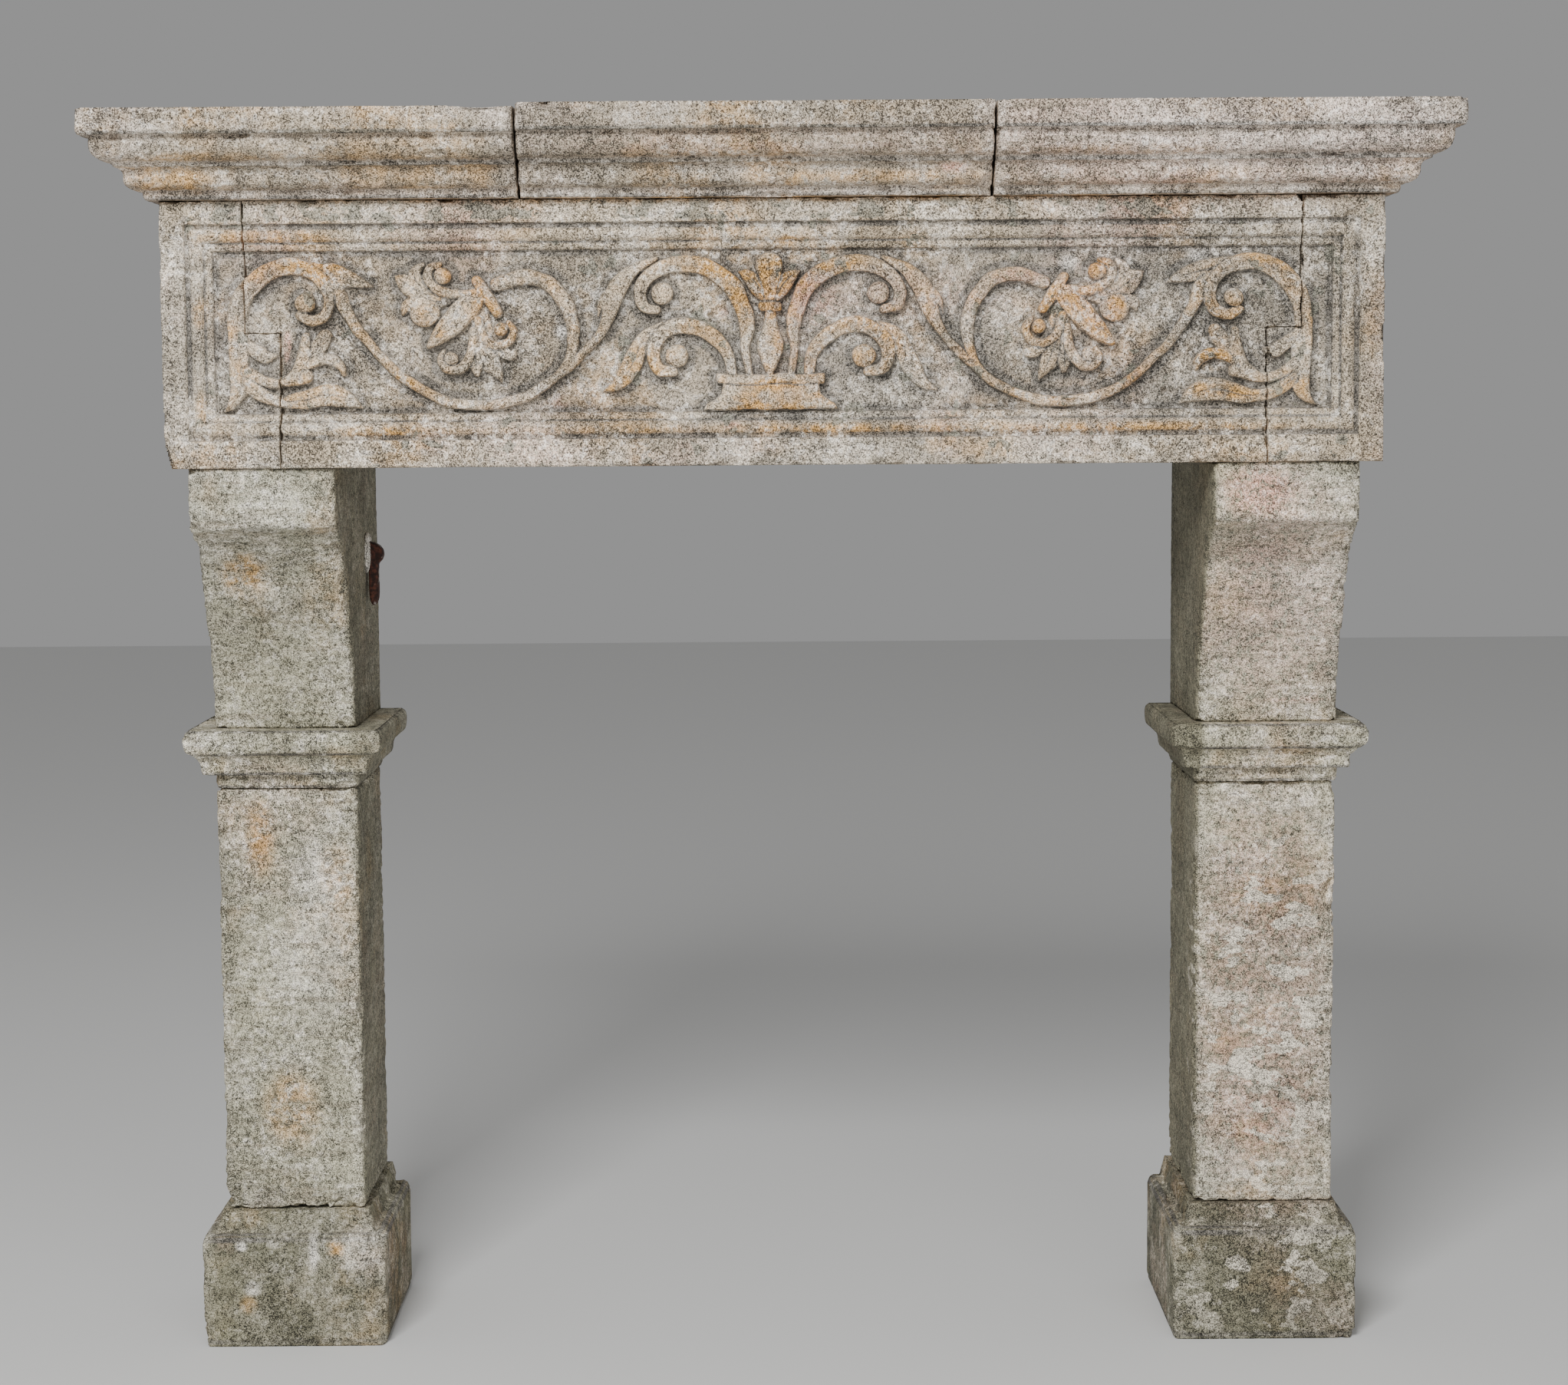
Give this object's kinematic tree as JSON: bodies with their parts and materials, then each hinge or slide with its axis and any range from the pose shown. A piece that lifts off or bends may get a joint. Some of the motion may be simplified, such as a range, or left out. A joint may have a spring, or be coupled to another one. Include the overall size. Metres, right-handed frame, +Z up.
{
  "type": "stone fireplace mantel",
  "caption": "Stone fireplace mantel: plain jambs with moulded collars and curved consoles, a scroll-carved frieze on them and a deep moulded shelf on top.",
  "frame": {"origin": "middle of the base, half way between the wall plane and the front of the shelf", "axes": "+X to the right along the shelf, +Y back towards the wall, +Z up; the carved front looks towards -Y"},
  "size_m": [2.0432, 0.5986, 1.9415],
  "materials": {
    "shelf_stone": "weathered",
    "frieze_stone": "weathered",
    "jamb_stone": "weathered",
    "plinth_stone": "weathered",
    "rusted_iron": "rusted",
    "lime_mortar": "matt"
  },
  "bodies": {
    "root": {"cornice_left": "shelf_stone", "cornice_centre": "shelf_stone", "cornice_right": "shelf_stone", "frieze_block_left": "frieze_stone", "frieze_lintel": "frieze_stone", "frieze_block_right": "frieze_stone", "console_left": "jamb_stone", "console_right": "jamb_stone", "collar_left": "jamb_stone", "collar_right": "jamb_stone", "shaft_left": "jamb_stone", "shaft_right": "jamb_stone", "plinth_left": "plinth_stone", "plinth_right": "plinth_stone", "iron_hook": "rusted_iron", "hook_mortar": "lime_mortar"}
  },
  "joints": []
}
